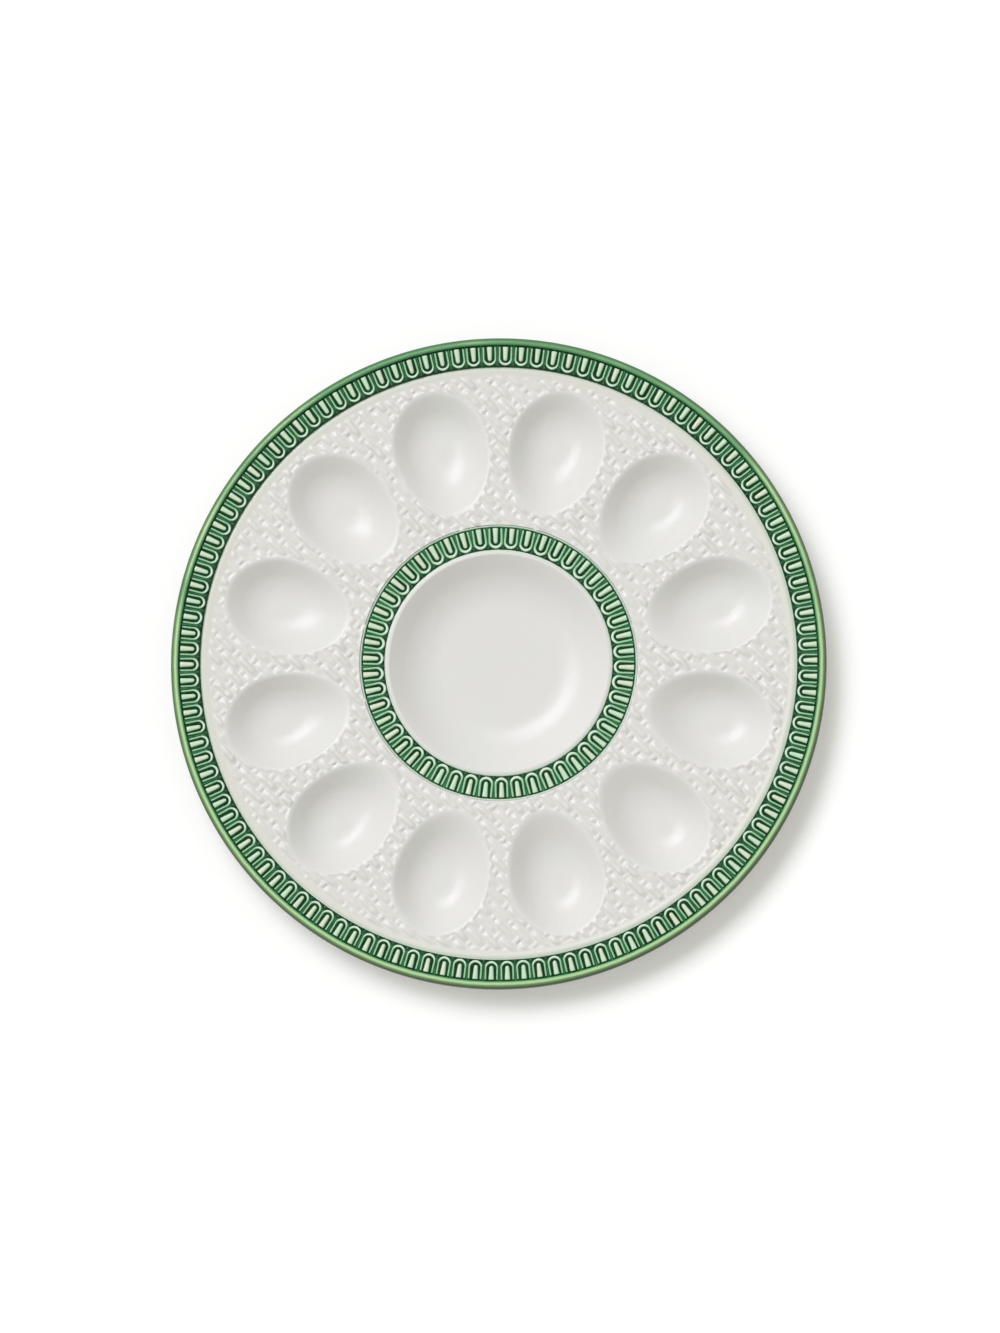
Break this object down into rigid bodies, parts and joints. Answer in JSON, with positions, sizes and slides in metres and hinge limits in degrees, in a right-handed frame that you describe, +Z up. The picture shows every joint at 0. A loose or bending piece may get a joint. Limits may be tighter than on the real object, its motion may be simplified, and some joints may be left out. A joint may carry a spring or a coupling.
{
  "type": "deviled egg platter",
  "caption": "Round ceramic serving platter with egg-shaped wells set radially round a shallow centre bowl, a woven field, moulded green borders, a rolled edge and a foot ring.",
  "frame": {"origin": "middle of the foot ring's underside, on the surface that the platter stands on", "axes": "+Z up along the platter's round axis, out of the bowl; +X and +Y level, each midway between two egg wells"},
  "size_m": [0.32, 0.32, 0.02],
  "materials": {
    "white_glaze": "glossy",
    "edge_glaze": "glossy",
    "ground_glaze": "glossy",
    "tongue_glaze": "glossy",
    "arch_glaze": "glossy",
    "dart_glaze": "glossy",
    "foot_clay": "matte"
  },
  "bodies": {
    "root": {"centre_bowl": "white_glaze", "field_plate": "white_glaze", "rim_flange": "white_glaze", "foot_ring": "foot_clay", "rolled_edge": "edge_glaze", "outer_ground": "ground_glaze", "outer_tongues": "tongue_glaze", "outer_arches": "arch_glaze", "outer_darts": "dart_glaze", "inner_ground": "ground_glaze", "inner_tongues": "tongue_glaze", "inner_arches": "arch_glaze", "inner_darts": "dart_glaze", "egg_well_01": "white_glaze", "egg_well_02": "white_glaze", "egg_well_03": "white_glaze", "egg_well_04": "white_glaze", "egg_well_05": "white_glaze", "egg_well_06": "white_glaze", "egg_well_07": "white_glaze", "egg_well_08": "white_glaze", "egg_well_09": "white_glaze", "egg_well_10": "white_glaze", "egg_well_11": "white_glaze", "egg_well_12": "white_glaze"}
  },
  "joints": []
}
